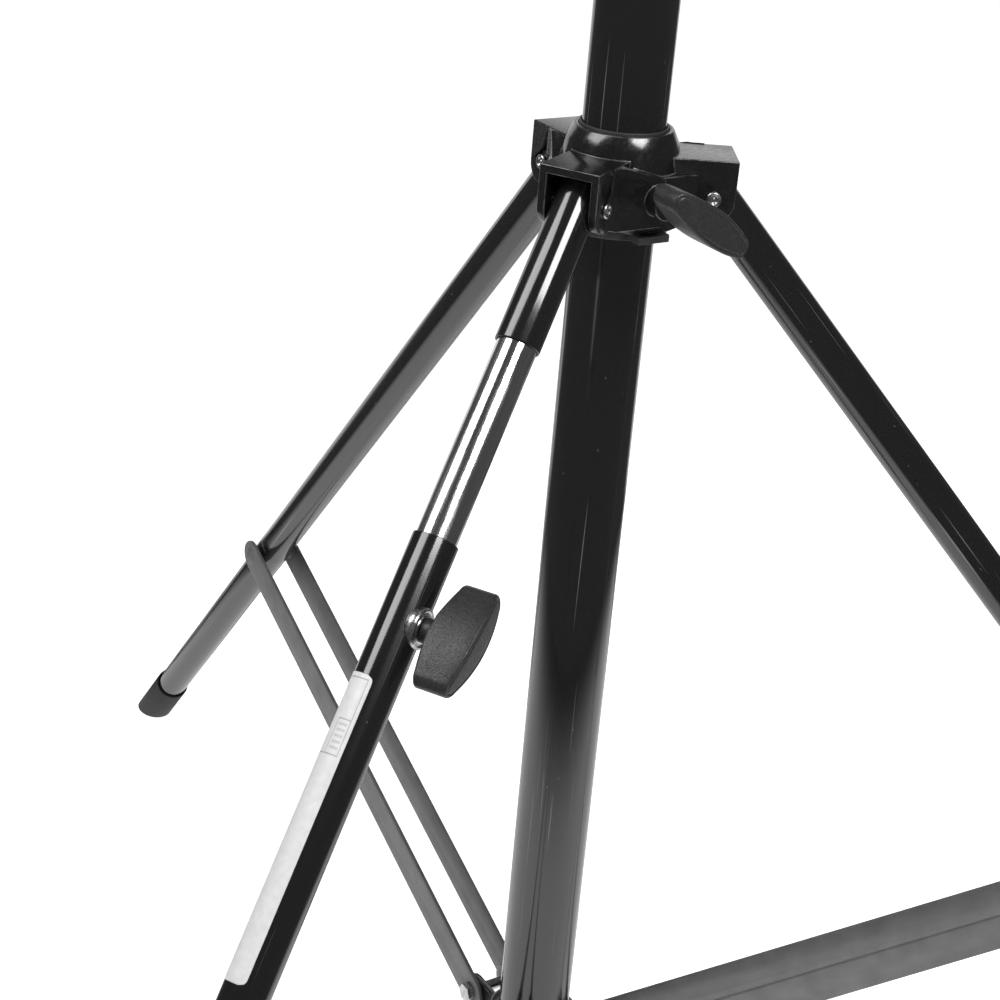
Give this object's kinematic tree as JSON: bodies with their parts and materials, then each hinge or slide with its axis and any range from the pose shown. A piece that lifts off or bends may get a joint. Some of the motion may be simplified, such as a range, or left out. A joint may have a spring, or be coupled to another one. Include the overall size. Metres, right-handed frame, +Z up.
{
  "type": "steel tripod lighting stand",
  "caption": "Heavy black steel lighting stand: sliding collar, braced folding tube legs, one levelling leg with a bright inner tube, and telescopic risers.",
  "frame": {"origin": "centre of the column's bottom face; the feet stand 88 mm lower", "axes": "+Z up the column, +X along leg C, the levelling leg A 120 degrees clockwise seen from above"},
  "size_m": [1.0977, 1.263, 1.5909],
  "materials": {
    "black_steel": "gloss black chrome-like finish on steel tube",
    "chrome_tube": "bright chrome, scratched by the sliding tube",
    "satin_black_casting": "satin black coated steel",
    "grey_steel_bar": "matt dark grey flat steel",
    "plated_steel": "bright zinc or nickel plate",
    "black_plastic": "satin moulded plastic",
    "grey_nylon": "dark grey nylon",
    "black_rubber": "matt black rubber"
  },
  "bodies": {
    "column": {"column_tube": "black_steel", "column_plug": "black_rubber", "lower_collar": "satin_black_casting", "lower_bolt_a": "plated_steel", "lower_bolt_b": "plated_steel", "lower_bolt_c": "plated_steel", "lock_collar_1": "satin_black_casting", "lock_bush_1": "grey_nylon", "lock_pad_1": "grey_nylon"},
    "spider": {"spider": "satin_black_casting", "spider_bush": "grey_nylon", "spider_brake_pad": "grey_nylon", "hinge_pin_a": "plated_steel", "hinge_pin_b": "plated_steel", "hinge_pin_c": "plated_steel"},
    "spider_knob": {"spider_knob": "black_plastic", "spider_knob_screw": "plated_steel"},
    "leg_a_upper": {"leg_a_upper_tube": "black_steel", "leg_a_inner_tube": "chrome_tube"},
    "leg_a_lower": {"leg_a_lower_tube": "black_steel", "leg_a_boss": "plated_steel", "leg_a_brake_pad": "grey_nylon", "leg_a_foot": "black_rubber"},
    "leg_a_knob": {"leg_a_knob": "black_plastic", "leg_a_knob_screw": "plated_steel"},
    "leg_b": {"leg_b_tube": "black_steel", "leg_b_foot": "black_rubber"},
    "leg_c": {"leg_c_tube": "black_steel", "leg_c_foot": "black_rubber"},
    "brace_a": {"brace_a_left_bar": "grey_steel_bar", "brace_a_right_bar": "grey_steel_bar"},
    "brace_b": {"brace_b_left_bar": "grey_steel_bar", "brace_b_right_bar": "grey_steel_bar"},
    "brace_c": {"brace_c_left_bar": "grey_steel_bar", "brace_c_right_bar": "grey_steel_bar"},
    "lock_knob_1": {"lock_knob_1": "black_plastic", "lock_knob_1_screw": "plated_steel"},
    "lock_knob_2": {"lock_knob_2": "black_plastic", "lock_knob_2_screw": "plated_steel"},
    "lock_knob_3": {"lock_knob_3": "black_plastic", "lock_knob_3_screw": "plated_steel"},
    "riser_1": {"riser_1_tube": "black_steel", "lock_collar_2": "satin_black_casting", "lock_bush_2": "grey_nylon", "lock_pad_2": "grey_nylon"},
    "riser_2": {"riser_2_tube": "black_steel", "lock_collar_3": "satin_black_casting", "lock_bush_3": "grey_nylon", "lock_pad_3": "grey_nylon"},
    "riser_3": {"riser_3_tube": "black_steel", "head_casting": "satin_black_casting", "head_stud": "plated_steel"}
  },
  "joints": [
    {"name": "collar_slide", "type": "slide", "parent": "column", "child": "spider", "axis": [0, 0, 1], "range_m": [0, 0.40366]},
    {"name": "leg_a_fold", "type": "hinge", "parent": "spider", "child": "leg_a_upper", "pos_m": [-0.0275, -0.04763, 0.662], "axis": [0.866, -0.5, 0], "range_deg": [0, 41.01]},
    {"name": "brace_a_fold", "type": "hinge", "parent": "column", "child": "brace_a", "pos_m": [-0.0275, -0.04763, 0.031], "axis": [0.866, -0.5, 0], "range_deg": [-65.91, 0]},
    {"name": "leg_b_fold", "type": "hinge", "parent": "spider", "child": "leg_b", "pos_m": [-0.0275, 0.04763, 0.662], "axis": [-0.866, -0.5, 0], "range_deg": [0, 41.01]},
    {"name": "brace_b_fold", "type": "hinge", "parent": "column", "child": "brace_b", "pos_m": [-0.0275, 0.04763, 0.031], "axis": [-0.866, -0.5, 0], "range_deg": [-65.91, 0]},
    {"name": "leg_c_fold", "type": "hinge", "parent": "spider", "child": "leg_c", "pos_m": [0.055, 0, 0.662], "axis": [0, 1, 0], "range_deg": [0, 41.01]},
    {"name": "brace_c_fold", "type": "hinge", "parent": "column", "child": "brace_c", "pos_m": [0.055, 0, 0.031], "axis": [0, 1, 0], "range_deg": [-65.91, 0]},
    {"name": "leg_a_extension", "type": "slide", "parent": "leg_a_upper", "child": "leg_a_lower", "axis": [-0.328, -0.5682, -0.7547], "range_m": [-0.118, 0]},
    {"name": "leg_a_knob_turn", "type": "hinge", "parent": "leg_a_lower", "child": "leg_a_knob", "pos_m": [-0.11321, -0.19609, 0.46479], "axis": [0.866, -0.5, 0], "range_deg": [0, 270]},
    {"name": "spider_knob_turn", "type": "hinge", "parent": "spider", "child": "spider_knob", "pos_m": [0, 0, 0.664], "axis": [0.5, -0.866, 0], "range_deg": [0, 270]},
    {"name": "lock_knob_1_turn", "type": "hinge", "parent": "column", "child": "lock_knob_1", "pos_m": [0, 0, 1.222], "axis": [0.5, -0.866, 0], "range_deg": [0, 270]},
    {"name": "riser_1_slide", "type": "slide", "parent": "column", "child": "riser_1", "axis": [0, 0, 1], "range_m": [0, 1]},
    {"name": "lock_knob_2_turn", "type": "hinge", "parent": "riser_1", "child": "lock_knob_2", "pos_m": [0, 0, 1.3023], "axis": [0.5, -0.866, 0], "range_deg": [0, 270]},
    {"name": "riser_2_slide", "type": "slide", "parent": "riser_1", "child": "riser_2", "axis": [0, 0, 1], "range_m": [0, 1]},
    {"name": "lock_knob_3_turn", "type": "hinge", "parent": "riser_2", "child": "lock_knob_3", "pos_m": [0, 0, 1.3826], "axis": [0.5, -0.866, 0], "range_deg": [0, 270]},
    {"name": "riser_3_slide", "type": "slide", "parent": "riser_2", "child": "riser_3", "axis": [0, 0, 1], "range_m": [0, 1]}
  ],
  "couplings": [
    {"joint": "leg_a_fold", "follows": "collar_slide", "rad_per_m": 1.7727},
    {"joint": "brace_a_fold", "follows": "collar_slide", "rad_per_m": -2.8494},
    {"joint": "leg_b_fold", "follows": "collar_slide", "rad_per_m": 1.7727},
    {"joint": "brace_b_fold", "follows": "collar_slide", "rad_per_m": -2.8494},
    {"joint": "leg_c_fold", "follows": "collar_slide", "rad_per_m": 1.7727},
    {"joint": "brace_c_fold", "follows": "collar_slide", "rad_per_m": -2.8494}
  ]
}
